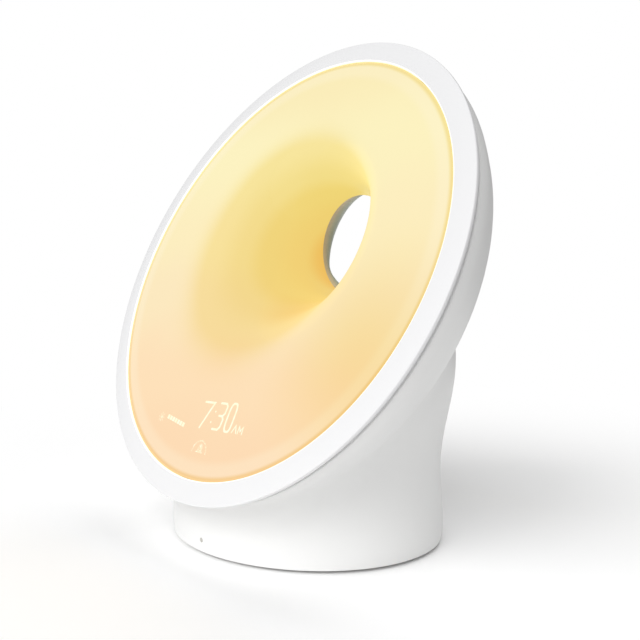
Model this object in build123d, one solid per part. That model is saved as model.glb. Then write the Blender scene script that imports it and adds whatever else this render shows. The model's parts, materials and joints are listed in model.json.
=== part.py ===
from build123d import *
import os
from math import acos, cos, pi, radians, sin

# Sunrise alarm clock. Millimetres, +Z up, the lit face looks along -Y.
# The origin is the centre of the foot pad's underside, on the surface it stands on.

# Head: a disc that leans back. In its own frame x is right, y runs up the face
# and z is the outward normal, with the ring's outer front edge at z = 0.
head_radius = 110.0
head_tilt = 25.9
head_center_y = -19.5
head_center_z = 123.6

# Ring round the face
ring_width = 10.0
ring_thickness = 1.8
ring_inner_rise = 0.7
ring_edge_round = 0.6
shadow_gap = 2.4
skirt_width = 3.4
skirt_inset = 2.2

# Lit face and its funnel, which rolls over into the off-centre hole
face_wall = 2.2
face_clearance = 0.2
face_flange = 1.4
face_flange_reach = 4.2
face_rim_width = 4.0
face_flat_width = 19.8
funnel_start_sink = 0.25
funnel_power_across = 3.0
funnel_power_down = 1.2
funnel_sections = 10
hole_size_share = 0.2218
hole_up_share = 0.2664
hole_depth = 45.7
hole_slope = 6.0

# Moulded housing: bowl, hole lip and foot in one piece
wall = 2.5
bowl_inset = 1.2
bowl_depth = 57.5
bowl_power_out = 2.21
bowl_power_in = 1.77
bowl_steps = 8
lip_round = 9.0
neck_round = 18.0
ledge_width = 7.5
ledge_thickness = 2.4

# Foot: an elliptical column that widens into the bowl and leans in under the hole
foot_half_width = 66.8
foot_half_depth = 56.6
foot_gap = 1.5
foot_flare = 11.7
foot_flare_start = 36.0
foot_flare_end = 82.0
foot_lean_start = 45.0
foot_top = 138.0
foot_top_half_depth = 35.0
foot_levels = 8

# Base plate, pad and screws
base_clearance = 0.2
base_thickness = 3.5
pad_inset = 5.0
pad_recess = 0.7
pad_fit = 0.2
base_screw_inset = 12.0
base_screw_angle = 35.0
base_screw_seat = 0.4
base_boss_radius = 5.0
base_boss_height = 3.0
base_screw_head_radius = 2.8
base_screw_head_height = 2.0
base_screw_radius = 1.25
base_screw_length = 14.0
screw_clearance = 0.3
screw_fit = 0.05
housing_boss_radius = 4.2
housing_boss_height = 22.0
rib_thickness = 2.0
blind_end = 1.0

# Reflector tray and light board
tray_flange = 1.2
tray_wall = 1.5
tray_depth = 22.0
tray_taper = 11.8
light_cut_margin = 8.2
light_cut_drop = 2.4
light_board_margin = 2.0
board_thickness = 1.6
light_size = 3.5
light_height = 1.9
light_window = 5.0
light_ring_insets = (22.0, 9.0)
light_ring_counts = (14, 24)
light_screw_inset = 4.0
light_screw_count = 5
light_boss_radius = 2.8
light_boss_height = 4.0
small_screw_radius = 1.0
small_head_radius = 2.0
small_head_height = 1.4

# Touch film and display
touch_margin = 5.8
touch_width = 10.0
touch_thickness = 0.4
display_margin = 9.5
display_height = 30.3
display_half_width = 42.0
display_mask_depth = 5.4
display_board_margin = 0.8
display_led_height = 0.6
digit_height = 12.4
digit_width = 6.0
digit_stroke = 1.3
digit_pitch = 8.4
digit_slant = 4.0
digits_x = -4.0
digits_drop = 11.7
segment_gap = 0.3
mark_stroke = 1.3
star_x = -35.6
star_drop = 17.5
star_size = 3.2
bar_x = -23.0
bar_drop = 17.3
bar_length = 14.6
bar_height = 2.8
bell_x = 1.3
bell_drop = 26.2
bell_size = 5.0
morning_x = 21.6
morning_drop = 15.6
morning_width = 6.5
morning_height = 2.2
post_radius = 3.0
post_pin_radius = 1.2
post_inset = 8.0
post_drop = 6.0

# Main board in the foot
standoff_height = 1.6
standoff_radius = 3.0
main_half_width = 33.0
main_length = 66.0
main_back_gap = 3.6
main_screw_inset = 4.0
main_screw_back_inset = 14.0

# Port panel, in a window low in the back of the foot
panel_recess = 9.0
panel_thickness = 2.0
panel_half_width = 30.0
panel_height = 18.0
window_half_width = 27.0
window_bottom = 7.0
window_top = 20.5
window_round = 3.0
frame_margin = 5.0
frame_top_margin = 3.5
port_clearance = 0.15
port_depth = 14.0
dc_x = -20.0
dc_width = 9.0
dc_height = 11.0
dc_bore_radius = 2.85
dc_pin_radius = 1.0
dc_bore_depth = 9.5
usb_x = -4.0
usb_width = 13.1
usb_height = 5.7
usb_stand = 2.5
usb_sheet = 0.35
usb_tongue = 1.8
usb_tongue_gap = 0.7
usb_tongue_inset = 1.0
aux_x = 12.0
aux_width = 7.0
aux_height = 8.0
aux_nose_radius = 3.2
aux_bore_radius = 1.8
reset_x = 23.0
reset_z = 14.0
reset_radius = 1.8
reset_flange_radius = 2.6
reset_flange = 1.2
reset_proud = 0.6
reset_travel = 0.5
reset_stem = 4.5
switch_size = 6.0
switch_depth = 5.0
switch_gap = 0.2
running_gap = 0.08

# Speaker, facing backwards above the ports
speaker_z = 54.0
speaker_seat_inset = 12.6
speaker_ring_radius = 27.0
grille_radius = 22.0
grille_seat_radius = 20.5
grille_seat_depth = 3.0
grille_fit = 0.15
grille_thickness = 2.0
grille_slots = 9
grille_slot_width = 1.6
grille_slot_pitch = 4.0
grille_slot_reach = 18.0
gasket_thickness = 0.8
gasket_fit = 0.2
speaker_flange_radius = 26.0
speaker_flange = 1.2
speaker_cup_radius = 21.9
speaker_ledge_radius = 18.8
speaker_ledge_drop = 2.0
basket_sheet = 1.2
basket_depth = 12.0
basket_window = 9.0
magnet_plate_radius = 15.0
plate_thickness = 2.5
magnet_radius = 16.0
magnet_height = 7.0
magnet_bore = 8.5
plate_bore = 7.5
pole_radius = 6.0
coil_radius = 6.9
coil_wall = 0.4
coil_dip = 1.0
cone_radius = 17.8
cone_sheet = 0.6
cone_lip = 1.2
cone_neck = 4.5
cap_rise = 1.6
surround_sheet = 0.4
surround_land = 0.5
speaker_screw_radius = 1.0
speaker_screw_head_radius = 1.6
speaker_screw_head_height = 1.2
speaker_screw_length = 6.0
speaker_screw_circle = 23.9
speaker_windows = 4

# Room sensor behind a light pipe in the foot's front
sensor_z = 6.4
sensor_radius = 1.0
sensor_board_width = 14.0
sensor_board_height = 12.0
sensor_board_thickness = 1.2
sensor_gap = 1.2
sensor_rail_width = 3.0
sensor_rail_depth = 1.6

# Parts on the main board; places along it are measured from its front edge
cell_x = 10.0
cell_place = 26.0
cell_radius = 10.0
cell_thickness = 3.2
cell_gap = 0.2
holder_wall = 1.5
holder_floor = 0.8
holder_lip = 0.6
finger_notch = 8.0
capacitor_x = (-26.0, -16.0)
capacitor_place = 10.0
capacitor_radius = 4.0
capacitor_height = 12.0
shield_x = -21.0
shield_place = 44.0
shield_width = 18.0
shield_depth = 12.0
shield_height = 2.6
shield_corner = 1.0
processor_size = 10.0
driver_size = 8.0
amplifier_size = 6.0
chip_height = 1.2

# Derived places
head = Plane(
    origin=(0, head_center_y, head_center_z),
    x_dir=(1, 0, 0),
    z_dir=(0, -cos(radians(head_tilt)), sin(radians(head_tilt))),
)
ring_inner_radius = head_radius - ring_width
face_radius = ring_inner_radius - face_clearance
flange_radius = face_radius + face_flange_reach
funnel_start_radius = face_radius - face_flat_width
hole_radius = head_radius * hole_size_share
hole_up = head_radius * hole_up_share
hole_tilt = head_tilt - hole_slope
bowl_start = ring_thickness + shadow_gap
bowl_radius = head_radius - bowl_inset
tray_front = ring_thickness + face_flange
tray_mouth_radius = face_radius - face_rim_width
tray_floor_radius = tray_mouth_radius - tray_taper
tray_floor_front = tray_depth - tray_wall
ledge_front = tray_front + tray_flange
mask_front = face_wall + touch_thickness
mask_back = mask_front + display_mask_depth
display_radius = face_radius - display_margin
display_top = display_height - display_radius
base_top = foot_gap + base_thickness
base_seat = base_top + base_screw_seat
main_bottom = base_top + standoff_height
main_top = main_bottom + board_thickness
panel_face_y = foot_half_depth - panel_recess
panel_inner_y = panel_face_y - panel_thickness
main_back = panel_inner_y - main_back_gap
main_front = main_back - main_length
speaker_seat_y = foot_half_depth - speaker_seat_inset
cut_over = 1.0
far = 400.0


def on_head(x, y, depth):
    """Place on the head, `depth` behind the ring's front edge."""
    return head.location * Pos(x, y, -depth)


def in_hole(along):
    """Place on the hole's axis, `along` behind the face's rear rim."""
    return on_head(0, hole_up, hole_depth) * Rot(X=hole_tilt) * Pos(0, 0, -along)


def turned(*points):
    """Solid of revolution about Z from (radius, z) corners."""
    return revolve(Plane.XZ * make_face(Polyline(*points, close=True)), Axis.Z)


def tube(outer, inner, bottom, top):
    """Ring-shaped solid about Z between two heights."""
    return turned((inner, bottom), (outer, bottom), (outer, top), (inner, top))


def post(radius, bottom, top):
    """Round solid about Z between two heights."""
    return Pos(0, 0, bottom) * Cylinder(radius, top - bottom, align=(Align.CENTER, Align.CENTER, Align.MIN))


def block(x0, x1, y0, y1, z0, z1):
    """Box between two corners."""
    return Pos((x0 + x1) / 2, (y0 + y1) / 2, (z0 + z1) / 2) * Box(x1 - x0, y1 - y0, z1 - z0)


def backwards(x, y, z):
    """Place whose local z runs along +Y, out of the back of the foot."""
    return Pos(x, y, z) * Rot(X=-90)


def bowl(inset):
    """Bowl about the head's axis, a superellipse turned; `inset` is the wall."""
    radius = bowl_radius - inset
    depth = bowl_depth - inset
    points = []
    for step in range(bowl_steps + 1):
        angle = pi / 2 * step / bowl_steps
        out = radius * sin(angle) ** (2 / bowl_power_out)
        back = depth * max(cos(angle), 0) ** (2 / bowl_power_in)
        points.append((out, -bowl_start - back))
    curve = Spline(*points, tangents=((1, 0), (0, 1)))
    lid = Line(points[-1], (0, -bowl_start))
    axis = Line((0, -bowl_start), points[0])
    return head.location * revolve(Plane.XZ * make_face(curve + lid + axis), Axis.Z)


def smooth_rise(value):
    value = min(max(value, 0), 1)
    return value * value * (3 - 2 * value)


def foot_sizes(z, inset):
    """Half width and half depth of the foot's ellipse at a height."""
    rise = smooth_rise((z - foot_flare_start) / (foot_flare_end - foot_flare_start))
    climb = max(z - foot_lean_start, 0) / (foot_top - foot_lean_start)
    lean = (foot_half_depth - foot_top_half_depth) * climb**2
    return foot_half_width + foot_flare * rise - inset, foot_half_depth - lean - inset


def foot_column(inset):
    """Elliptical column, cut off where it would pass in front of the bowl."""
    sections = []
    for level in range(foot_levels):
        z = foot_gap + (foot_top - foot_gap) * level / (foot_levels - 1)
        sections.append(Pos(0, 0, z) * Ellipse(*foot_sizes(z, inset)))
    column = loft(sections)
    behind = on_head(0, 0, bowl_start + inset + far / 2) * Box(far, far, far)
    return column & behind


def funnel_section(angle, offset):
    """Circle of the funnel; `angle` runs from 0 at the flat face to 90 at the rim."""
    turn = radians(angle)
    across = sin(turn) ** (2 / funnel_power_across)
    down = 1 - max(cos(turn), 0) ** (2 / funnel_power_down)
    radius = funnel_start_radius - (funnel_start_radius - hole_radius) * across + offset * sin(turn)
    depth = hole_depth * down + (offset - funnel_start_sink) * cos(turn)
    return on_head(0, hole_up * across, depth) * Rot(X=hole_tilt * down) * Circle(radius)


def funnel(offset):
    """Solid inside the funnel's surface, from just before the flat face to the rear rim."""
    sections = []
    for step in range(funnel_sections):
        sections.append(funnel_section(90 * step / (funnel_sections - 1), offset))
    return loft(sections)


def funnel_at(depth):
    """Radius of the funnel, and how far up the face its centre lies, at a depth."""
    turn = acos((1 - depth / hole_depth) ** (funnel_power_down / 2))
    across = sin(turn) ** (2 / funnel_power_across)
    return funnel_start_radius - (funnel_start_radius - hole_radius) * across, hole_up * across


def neck_edges(body):
    """The closed crease where the foot's column runs into the bowl."""
    bowl_edges = body.faces().filter_by(GeomType.REVOLUTION).edges()
    column_edges = body.faces().filter_by(GeomType.BSPLINE).edges()
    return [edge for edge in column_edges if any(edge.is_same(other) for other in bowl_edges)]


def blended(inset):
    """Bowl and column as one body, with a smooth neck."""
    body = bowl(inset) + foot_column(inset)
    return fillet(neck_edges(body), neck_round + inset)


def near_hole(edge):
    """True for the edges where the hole leaves the back of the housing."""
    local = in_hole(0).inverse() * Pos(edge @ 0.5)
    place = local.position
    reach = (place.X**2 + place.Y**2) ** 0.5
    return abs(reach - hole_radius) < 5 and place.Z < -2


# ---- head ----
def bezel_ring():
    front = [
        (ring_inner_radius, ring_inner_rise),
        (head_radius, 0),
        (head_radius, -ring_thickness),
        (head_radius - skirt_inset, -ring_thickness),
        (head_radius - skirt_inset, -bowl_start),
        (head_radius - skirt_inset - skirt_width, -bowl_start),
        (head_radius - skirt_inset - skirt_width, -ring_thickness),
        (ring_inner_radius, -ring_thickness),
    ]
    ring = turned(*front)
    rims = ring.edges().filter_by(GeomType.CIRCLE).sort_by(Axis.Z)
    outer = [edge for edge in rims if abs(edge.radius - head_radius) < 0.01]
    return head.location * fillet(outer, ring_edge_round)


def front_diffuser():
    rim = turned(
        (face_radius - face_rim_width, -face_wall),
        (face_radius - face_rim_width, 0),
        (face_radius, 0),
        (face_radius, -ring_thickness),
        (flange_radius, -ring_thickness),
        (flange_radius, -tray_front),
        (face_radius - face_rim_width, -tray_front),
    )
    plate = post(face_radius, -face_wall, 0)
    face = head.location * (plate + rim) + funnel(face_wall)
    return face - funnel(0)


def touch_ring():
    outer = face_radius - touch_margin
    film = tube(outer, outer - touch_width, -mask_front, -face_wall)
    return head.location * film


def light_cut_place():
    """Radius of the round cut-out that clears the funnel, and how far up the face it is."""
    radius, up = funnel_at(tray_floor_front)
    return radius + face_wall + light_cut_margin, up - light_cut_drop


def light_cut(front, back):
    radius, up = light_cut_place()
    return on_head(0, up, 0) * post(radius, -back, -front)


def light_places():
    """Places of the lights, on rings about the head's axis, clear of the cut-out."""
    cut_radius, cut_up = light_cut_place()
    places = []
    for inset, count in zip(light_ring_insets, light_ring_counts):
        radius = tray_floor_radius - inset
        for index in range(count):
            angle = 2 * pi * (index + 0.5) / count
            x = radius * cos(angle)
            y = radius * sin(angle)
            reach = (x**2 + (y - cut_up) ** 2) ** 0.5
            if reach > cut_radius + light_window:
                places.append((x, y))
    return places


def light_screw_places():
    radius = tray_floor_radius - light_screw_inset
    places = []
    for index in range(light_screw_count):
        angle = 2 * pi * index / light_screw_count + pi / 2
        places.append((radius * cos(angle), radius * sin(angle)))
    return places


def display_post_places():
    x = display_half_width - post_inset
    return [(-x, display_top - post_drop), (x, display_top - post_drop)]


def reflector_tray():
    slope = tray_taper / (tray_depth - tray_front)
    profile = [
        (flange_radius, -tray_front),
        (flange_radius, -ledge_front),
        (tray_mouth_radius - slope * tray_flange, -ledge_front),
        (tray_floor_radius, -tray_depth),
        (0, -tray_depth),
        (0, -tray_floor_front),
        (tray_floor_radius - tray_wall, -tray_floor_front),
        (tray_mouth_radius - tray_wall, -tray_front),
    ]
    tray = head.location * turned(*profile)
    boss_front = -tray_floor_front + light_boss_height
    for x, y in light_screw_places():
        tray += on_head(x, y, 0) * post(light_boss_radius, -tray_floor_front, boss_front)
    board_back = -mask_back - board_thickness
    for x, y in display_post_places():
        tray += on_head(x, y, 0) * post(post_radius, -tray_floor_front, board_back)
        tray += on_head(x, y, 0) * post(post_pin_radius, board_back, -mask_back)
    tray -= light_cut(tray_floor_front - cut_over, tray_depth + cut_over)
    for x, y in light_places():
        tray -= on_head(x, y, tray_depth) * Box(light_window, light_window, 3 * tray_wall)
    for x, y in light_screw_places():
        hole = post(small_screw_radius + screw_fit, -tray_depth, boss_front - blind_end)
        tray -= on_head(x, y, 0) * hole
    return tray


def led_board():
    outer = tray_floor_radius - light_board_margin
    board = head.location * post(outer, -tray_depth - board_thickness, -tray_depth)
    board -= light_cut(tray_depth - cut_over, tray_depth + board_thickness + cut_over)
    for x, y in light_screw_places():
        board -= on_head(x, y, tray_depth) * Cylinder(small_screw_radius + screw_clearance, 4 * board_thickness)
    return board


def light_leds():
    lights = []
    for x, y in light_places():
        lights.append(on_head(x, y, tray_depth - light_height / 2) * Box(light_size, light_size, light_height))
    return Compound(children=lights)


def pan_screw(radius, length, cap_radius, cap_height):
    """Screw along local z: head below zero, shank above."""
    return post(cap_radius, -cap_height, 0) + post(radius, 0, length)


def led_board_screws():
    screws = []
    back = tray_depth + board_thickness
    length = board_thickness + tray_wall + light_boss_height - 1.5 * blind_end
    for x, y in light_screw_places():
        screw = pan_screw(small_screw_radius, length, small_head_radius, small_head_height)
        screws.append(on_head(x, y, back) * screw)
    return Compound(children=screws)


# ---- display ----
def display_outline(margin, front, back):
    """Slab behind the face, straight at the top and round at the bottom."""
    slab = post(display_radius - margin, -back, -front)
    window = block(-display_half_width, display_half_width, -far, display_top, -back, -front)
    return head.location * (slab & window)


def segment_places():
    """Centre and turn of every bar of the three figures."""
    rise = digit_height / 2
    side = digit_width / 2
    bars = {
        "top": (0, rise, 0),
        "middle": (0, 0, 0),
        "bottom": (0, -rise, 0),
        "upper_right": (side, rise / 2, 90),
        "lower_right": (side, -rise / 2, 90),
        "upper_left": (-side, rise / 2, 90),
        "lower_left": (-side, -rise / 2, 90),
    }
    places = []
    for index in range(3):
        offset = digits_x + index * digit_pitch + (digit_pitch / 4 if index else 0)
        for x, y, turn in bars.values():
            lean = y * sin(radians(digit_slant))
            places.append((offset + x + lean, display_top - digits_drop + y, turn))
    return places


def display_marks():
    """Place, turn, width and height of every lit opening: figures, colon and signs."""
    marks = []
    for x, y, turn in segment_places():
        full = digit_height / 2 if turn else digit_width
        tilt = turn - digit_slant if turn else 0
        marks.append((x, y, tilt, full - digit_stroke - segment_gap, digit_stroke))
    colon_x = digits_x + digit_pitch * 5 / 8
    for side in (-1, 1):
        y = display_top - digits_drop + side * digit_height / 4
        marks.append((colon_x, y, 0, mark_stroke, mark_stroke))
    marks.append((star_x, display_top - star_drop, 0, star_size, star_size))
    marks.append((bar_x, display_top - bar_drop, 0, bar_length, bar_height))
    marks.append((bell_x, display_top - bell_drop, 0, bell_size, bell_size))
    marks.append((morning_x, display_top - morning_drop, 0, morning_width, morning_height))
    return marks


def display_mask():
    mask = display_outline(0, mask_front, mask_back)
    for x, y, turn, width, height in display_marks():
        mask -= on_head(x, y, mask_back) * Rot(Z=turn) * Box(width, height, 3 * display_mask_depth)
    return mask - funnel(face_wall + face_clearance)


def display_board():
    board = display_outline(display_board_margin, mask_back, mask_back + board_thickness)
    for x, y in display_post_places():
        board -= on_head(x, y, mask_back) * Cylinder(post_pin_radius + screw_fit, 4 * board_thickness)
    return board


def display_leds():
    lamps = []
    for x, y, turn, width, height in display_marks():
        lamp = Box(width / 2, height / 2, display_led_height)
        lamps.append(on_head(x, y, mask_back - display_led_height / 2) * Rot(Z=turn) * lamp)
    return Compound(children=lamps)


# ---- foot ----
def base_screw_places():
    places = []
    for turn in (base_screw_angle, 180 - base_screw_angle, 180 + base_screw_angle, -base_screw_angle):
        x = (foot_half_width - base_screw_inset) * cos(radians(turn))
        y = (foot_half_depth - base_screw_inset) * sin(radians(turn))
        places.append((x, y, turn))
    return places


def main_screw_places():
    x = main_half_width - main_screw_inset
    front = main_front + main_screw_inset
    back = main_back - main_screw_back_inset
    return [(-x, front), (x, front), (-x, back), (x, back)]


def oval(inset, bottom, top):
    """Elliptical slab of the foot's outline."""
    face = Ellipse(foot_half_width - inset, foot_half_depth - inset)
    return Pos(0, 0, bottom) * extrude(face, top - bottom)


def foot_pad():
    return oval(pad_inset, 0, foot_gap + pad_recess)


def base_plate():
    plate = oval(wall + base_clearance, foot_gap, base_top)
    plate -= oval(pad_inset - pad_fit, 0, foot_gap + pad_recess)
    boss_top = base_top + base_boss_height
    for x, y, turn in base_screw_places():
        plate += Pos(x, y, 0) * post(base_boss_radius, base_top, boss_top)
    for x, y in main_screw_places():
        plate += Pos(x, y, 0) * post(standoff_radius, base_top, main_bottom)
    for x, y, turn in base_screw_places():
        plate -= Pos(x, y, 0) * post(base_screw_head_radius + screw_clearance, 0, base_seat)
        plate -= Pos(x, y, 0) * post(base_screw_radius + screw_clearance, 0, boss_top + cut_over)
    for x, y in main_screw_places():
        pilot_bottom = foot_gap + pad_recess + blind_end / 2
        pilot = post(small_screw_radius + screw_fit, pilot_bottom, main_bottom + cut_over)
        plate -= Pos(x, y, 0) * pilot
    rear = sensor_front_y() + sensor_board_thickness
    rail_half = sensor_rail_width / 2
    rail_top = base_top + sensor_board_height / 2
    for side in (-1, 1):
        x = side * sensor_board_width / 3
        plate += block(x - rail_half, x + rail_half, rear, rear + sensor_rail_depth, base_top, rail_top)
    return plate


def base_screws():
    screws = []
    for x, y, turn in base_screw_places():
        screw = pan_screw(base_screw_radius, base_screw_length, base_screw_head_radius, base_screw_head_height)
        screws.append(Pos(x, y, base_seat) * screw)
    return Compound(children=screws)


def sensor_front_y():
    """Front face of the sensor board, just clear of the curved wall."""
    half = sensor_board_width / 2 / (foot_half_width - wall)
    return -(foot_half_depth - wall) * (1 - half**2) ** 0.5 + sensor_gap


def sensor_window():
    pipe = Pos(0, 0, sensor_z) * Rot(X=90) * post(sensor_radius, -sensor_front_y(), 2 * foot_half_depth)
    return pipe & foot_column(0)


def sensor_board():
    front = sensor_front_y()
    half = sensor_board_width / 2
    return block(-half, half, front, front + sensor_board_thickness, base_top, base_top + sensor_board_height)


# ---- housing ----
def speaker_place():
    return backwards(0, speaker_seat_y, speaker_z)


def speaker_screw_places():
    places = []
    for index in range(4):
        angle = pi / 4 + index * pi / 2
        places.append((speaker_screw_circle * cos(angle), speaker_screw_circle * sin(angle)))
    return places


def back_housing():
    outer = blended(0) - in_hole(0) * post(hole_radius, -far / 4, far / 4)
    outer = fillet(outer.edges().filter_by(near_hole), lip_round)
    cavity = blended(wall) - in_hole(0) * post(hole_radius + wall, -far / 4, 0)
    cavity = fillet(cavity.edges().filter_by(near_hole), lip_round - wall)
    housing = outer - cavity
    housing -= oval(wall, 0, base_top)

    ledge_back = ledge_front + ledge_thickness
    ledge = tube(bowl_radius - wall / 2, flange_radius - ledge_width, -ledge_back, -ledge_front)
    shoulder = tube(bowl_radius - wall / 2, flange_radius + face_clearance, -ledge_back, -bowl_start)
    housing += head.location * ledge
    housing += head.location * shoulder

    boss_bottom = base_top + base_boss_height
    boss_top = boss_bottom + housing_boss_height
    for x, y, turn in base_screw_places():
        housing += Pos(x, y, 0) * post(housing_boss_radius, boss_bottom, boss_top)
        rib = block(0, base_screw_inset, -rib_thickness / 2, rib_thickness / 2, boss_bottom, boss_top)
        housing += Pos(x, y, 0) * Rot(Z=turn) * rib & outer
        hole_top = base_seat + base_screw_length + blind_end
        housing -= Pos(x, y, 0) * post(base_screw_radius + screw_fit, base_top, hole_top)

    frame_half = window_half_width + frame_margin
    frame_top = window_top + frame_top_margin
    frame = block(-frame_half, frame_half, panel_face_y, foot_half_depth + wall, base_top, frame_top)
    housing += frame & outer
    window = Rectangle(2 * window_half_width, window_top - window_bottom)
    window = fillet(window.vertices(), window_round)
    middle = (window_top + window_bottom) / 2
    housing -= backwards(0, panel_face_y - cut_over, middle) * extrude(window, far / 4)

    seat = speaker_place() * post(speaker_ring_radius, 0, far / 8)
    housing += seat & outer
    housing -= speaker_place() * post(grille_seat_radius, -cut_over, grille_seat_depth + cut_over)
    housing -= speaker_place() * post(grille_radius, grille_seat_depth, far / 4)
    for x, y in speaker_screw_places():
        pilot = post(speaker_screw_radius + screw_fit, -cut_over, speaker_screw_length)
        housing -= speaker_place() * Pos(x, y, 0) * pilot

    pipe = Rot(X=90) * post(sensor_radius + running_gap, foot_half_depth / 2, 2 * foot_half_depth)
    housing -= Pos(0, 0, sensor_z) * pipe
    return housing


# ---- port panel and ports ----
def port_box(x, width, height, bottom, back):
    half = width / 2
    return block(x - half, x + half, back - port_depth, back, bottom, bottom + height)


def dc_center():
    return main_top + dc_height - dc_width / 2


def usb_bottom():
    return main_top + usb_stand


def aux_center():
    return main_top + aux_height - aux_width / 2


def port_panel():
    panel = block(
        -panel_half_width, panel_half_width, panel_inner_y, panel_face_y, base_top, base_top + panel_height
    )
    grow = port_clearance
    half = dc_width / 2 + grow
    panel -= block(dc_x - half, dc_x + half, 0, far, 0, main_top + dc_height + grow)
    half = usb_width / 2 + grow
    panel -= block(usb_x - half, usb_x + half, 0, far, usb_bottom() - grow, usb_bottom() + usb_height + grow)
    panel -= backwards(aux_x, 0, aux_center()) * post(aux_nose_radius + grow, 0, far)
    panel -= backwards(reset_x, 0, reset_z) * post(reset_radius + running_gap, 0, far)
    return panel


def dc_jack():
    body = port_box(dc_x, dc_width, dc_height, main_top, panel_face_y)
    bore = backwards(dc_x, panel_face_y - dc_bore_depth, dc_center())
    body -= bore * post(dc_bore_radius, 0, far)
    return body + bore * post(dc_pin_radius, 0, dc_bore_depth - dc_pin_radius)


def usb_port():
    frame = port_box(usb_x, usb_width, usb_height, usb_bottom(), panel_face_y)
    hollow_half = usb_width / 2 - usb_sheet
    front = panel_face_y - port_depth + usb_sheet
    top = usb_bottom() + usb_height - usb_sheet
    frame -= block(usb_x - hollow_half, usb_x + hollow_half, front, far, usb_bottom() + usb_sheet, top)
    left = usb_x - hollow_half + usb_tongue_gap
    right = usb_x + hollow_half - usb_tongue_gap
    tongue_top = top - usb_tongue_gap
    tongue = block(left, right, front, panel_face_y - usb_tongue_inset, tongue_top - usb_tongue, tongue_top)
    legs = block(left, right, front, main_back, main_top, usb_bottom())
    return frame + tongue + legs


def aux_jack():
    body = port_box(aux_x, aux_width, aux_height, main_top, panel_inner_y)
    nose = backwards(aux_x, panel_inner_y, aux_center()) * post(aux_nose_radius, 0, panel_thickness)
    bottom = panel_inner_y - port_depth + blind_end
    bore = backwards(aux_x, bottom, aux_center()) * post(aux_bore_radius, 0, far)
    return body + nose - bore


def reset_button():
    stem = backwards(reset_x, panel_inner_y, reset_z)
    button = stem * post(reset_radius, -reset_stem, panel_thickness + reset_proud)
    return button + stem * post(reset_flange_radius, -reset_flange, 0)


def reset_switch():
    back = panel_inner_y - reset_stem - reset_travel - switch_gap
    half = switch_size / 2
    return block(reset_x - half, reset_x + half, back - switch_depth, back, main_top, reset_z + half)


# ---- main board and what it carries ----
def main_board():
    board = block(-main_half_width, main_half_width, main_front, main_back, main_bottom, main_top)
    for x, y in main_screw_places():
        board -= Pos(x, y, main_bottom) * Cylinder(small_screw_radius + screw_clearance, 4 * board_thickness)
    return board


def main_board_screws():
    screws = []
    length = board_thickness + standoff_height + blind_end / 2
    for x, y in main_screw_places():
        screw = pan_screw(small_screw_radius, length, small_head_radius, small_head_height)
        screws.append(Pos(x, y, main_top) * Rot(X=180) * screw)
    return Compound(children=screws)


def on_board(x, place):
    """Place on the main board, measured from its front edge."""
    return Pos(x, main_front + place, main_top)


def coin_cell_holder():
    holder = post(cell_radius + holder_wall, 0, holder_floor + cell_thickness + holder_lip)
    holder -= post(cell_radius + cell_gap, holder_floor, far)
    notch = block(0, far, -finger_notch / 2, finger_notch / 2, holder_floor + cell_thickness / 3, far)
    return on_board(cell_x, cell_place) * (holder - notch)


def coin_cell():
    return on_board(cell_x, cell_place) * post(cell_radius, holder_floor, holder_floor + cell_thickness)


def radio_shield():
    can = Pos(0, 0, shield_height / 2) * Box(shield_width, shield_depth, shield_height)
    return on_board(shield_x, shield_place) * chamfer(can.edges().filter_by(Axis.Z), shield_corner)


def board_chips():
    """Processor beside the radio, lamp driver by the capacitors, amplifier by the cell."""
    beside_shield = shield_x + shield_width / 2 + processor_size
    behind_capacitors = capacitor_place + 2 * capacitor_radius + driver_size / 2
    behind_cell = cell_place + cell_radius + 2 * amplifier_size
    spots = [
        (beside_shield, shield_place, processor_size),
        (capacitor_x[0], behind_capacitors, driver_size),
        (cell_x + amplifier_size, behind_cell, amplifier_size),
    ]
    chips = []
    for x, place, size in spots:
        chips.append(on_board(x, place) * Pos(0, 0, chip_height / 2) * Box(size, size, chip_height))
    return Compound(children=chips)


def capacitors():
    cans = []
    for x in capacitor_x:
        cans.append(on_board(x, capacitor_place) * post(capacitor_radius, 0, capacitor_height))
    return Compound(children=cans)


# ---- speaker, in its own frame: z = 0 at the housing's seat, +z out of the back ----
def speaker_grille():
    skin = foot_column(0) - foot_column(grille_thickness)
    cup = speaker_place()
    disc = cup * post(grille_radius - grille_fit, grille_seat_depth, far / 8)
    collar = cup * tube(grille_radius - grille_fit, grille_seat_radius, grille_seat_depth, far / 8)
    grille = (skin & disc) + (collar & foot_column(0))
    for index in range(grille_slots):
        x = (index - (grille_slots - 1) / 2) * grille_slot_pitch
        reach = (grille_slot_reach**2 - x**2) ** 0.5
        slot = extrude(SlotOverall(2 * reach, grille_slot_width), far / 8)
        grille -= cup * Pos(x, 0, 0) * Rot(Z=90) * slot
    return grille


def gasket_bottom():
    return -gasket_thickness


def flange_bottom():
    return gasket_bottom() - speaker_flange


def basket_bottom():
    return flange_bottom() - basket_depth


def surround_seat():
    return gasket_bottom() - speaker_ledge_drop


def speaker_gasket():
    ring = tube(speaker_flange_radius, grille_seat_radius, gasket_bottom(), 0)
    for x, y in speaker_screw_places():
        ring -= Pos(x, y, 0) * Cylinder(speaker_screw_radius + screw_clearance, 4 * gasket_thickness)
    return speaker_place() * ring


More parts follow.
